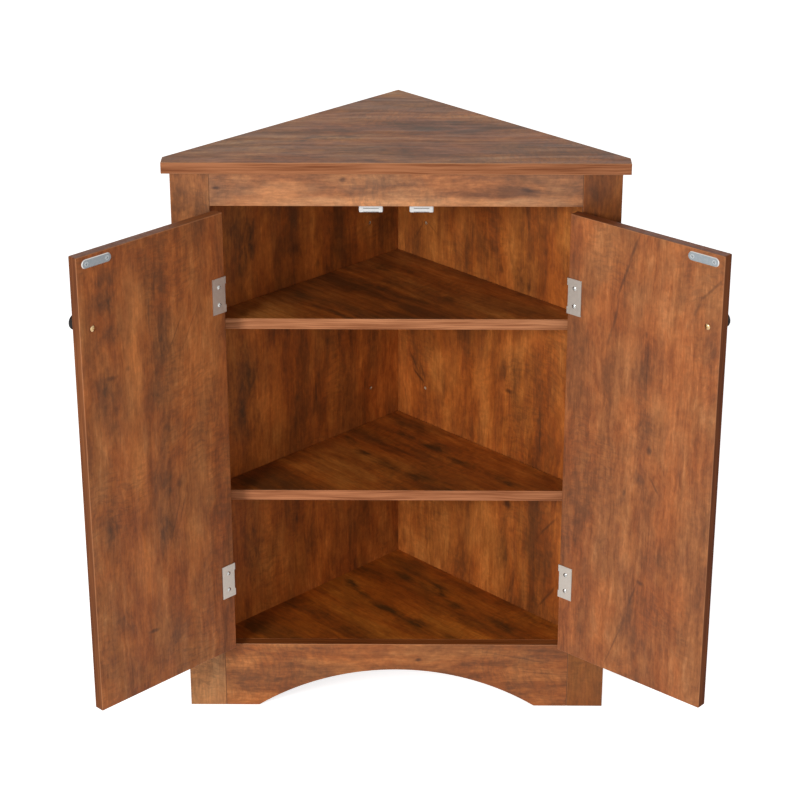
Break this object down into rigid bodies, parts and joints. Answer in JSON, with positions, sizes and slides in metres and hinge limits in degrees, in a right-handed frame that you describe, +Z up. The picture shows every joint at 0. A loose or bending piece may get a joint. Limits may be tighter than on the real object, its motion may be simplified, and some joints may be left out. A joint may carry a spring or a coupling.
{
  "type": "corner cupboard",
  "caption": "Triangular free-standing corner cupboard with hinged inset doors, loose shelves on pins, magnetic catches and an arched front apron.",
  "frame": {"origin": "foot of the body's rear corner, on the floor and on the cupboard's plane of symmetry", "axes": "+X to the right as seen from the front, +Y back into the corner of the room, +Z up; the front faces -Y"},
  "size_m": [0.8173, 0.4931, 0.8],
  "materials": {
    "walnut_laminate": "satin red-brown wood-grain laminate on board",
    "zinc_steel": "bright zinc plate",
    "zinc_alloy": "cast zinc alloy, as cast",
    "white_plastic": "moulded, satin",
    "ferrite": "dull dark grey ferrite",
    "dark_bronze": "dark bronze lacquer, glossy",
    "brass_screw": "yellow passivated steel",
    "beech_dowel": "bare turned wood"
  },
  "bodies": {
    "carcass": {"arched_apron": "walnut_laminate", "bottom_board": "walnut_laminate", "cam_bolts": "zinc_steel", "cam_discs": "zinc_alloy", "corner_screws": "zinc_steel", "frame_dowels": "beech_dowel", "left_catch_body": "white_plastic", "left_catch_magnet": "ferrite", "left_catch_poles": "zinc_steel", "left_catch_screws": "zinc_steel", "left_hinge_frame_screws": "zinc_steel", "left_lower_hinge_frame_leaf": "zinc_steel", "left_lower_hinge_pin": "zinc_steel", "left_side_panel": "walnut_laminate", "left_stile": "walnut_laminate", "left_upper_hinge_frame_leaf": "zinc_steel", "left_upper_hinge_pin": "zinc_steel", "lower_shelf_pins": "zinc_steel", "right_catch_body": "white_plastic", "right_catch_magnet": "ferrite", "right_catch_poles": "zinc_steel", "right_catch_screws": "zinc_steel", "right_hinge_frame_screws": "zinc_steel", "right_lower_hinge_frame_leaf": "zinc_steel", "right_lower_hinge_pin": "zinc_steel", "right_side_panel": "walnut_laminate", "right_stile": "walnut_laminate", "right_upper_hinge_frame_leaf": "zinc_steel", "right_upper_hinge_pin": "zinc_steel", "top_board": "walnut_laminate", "top_rail": "walnut_laminate", "upper_shelf_pins": "zinc_steel"},
    "left_door": {"left_door_panel": "walnut_laminate", "left_strike_plate": "zinc_steel", "left_strike_screws": "zinc_steel", "left_knob": "dark_bronze", "left_knob_screw": "brass_screw", "left_hinge_door_screws": "zinc_steel", "left_upper_hinge_door_leaf": "zinc_steel", "left_lower_hinge_door_leaf": "zinc_steel"},
    "right_door": {"right_door_panel": "walnut_laminate", "right_strike_plate": "zinc_steel", "right_strike_screws": "zinc_steel", "right_knob": "dark_bronze", "right_knob_screw": "brass_screw", "right_hinge_door_screws": "zinc_steel", "right_upper_hinge_door_leaf": "zinc_steel", "right_lower_hinge_door_leaf": "zinc_steel"},
    "upper_shelf": {"upper_shelf": "walnut_laminate"},
    "lower_shelf": {"lower_shelf": "walnut_laminate"}
  },
  "joints": [
    {"name": "left_door_hinge", "type": "hinge", "parent": "carcass", "child": "left_door", "pos_m": [-0.2343, -0.3055, 0.4], "axis": [0, 0, -1], "range_deg": [-134.5, 45.5]},
    {"name": "right_door_hinge", "type": "hinge", "parent": "carcass", "child": "right_door", "pos_m": [0.2343, -0.3055, 0.4], "axis": [0, 0, 1], "range_deg": [-139.5, 40.5]},
    {"name": "upper_shelf_lift", "type": "slide", "parent": "carcass", "child": "upper_shelf", "axis": [0, 0, 1], "range_m": [0, 0.07]},
    {"name": "lower_shelf_lift", "type": "slide", "parent": "carcass", "child": "lower_shelf", "axis": [0, 0, 1], "range_m": [0, 0.07]}
  ]
}
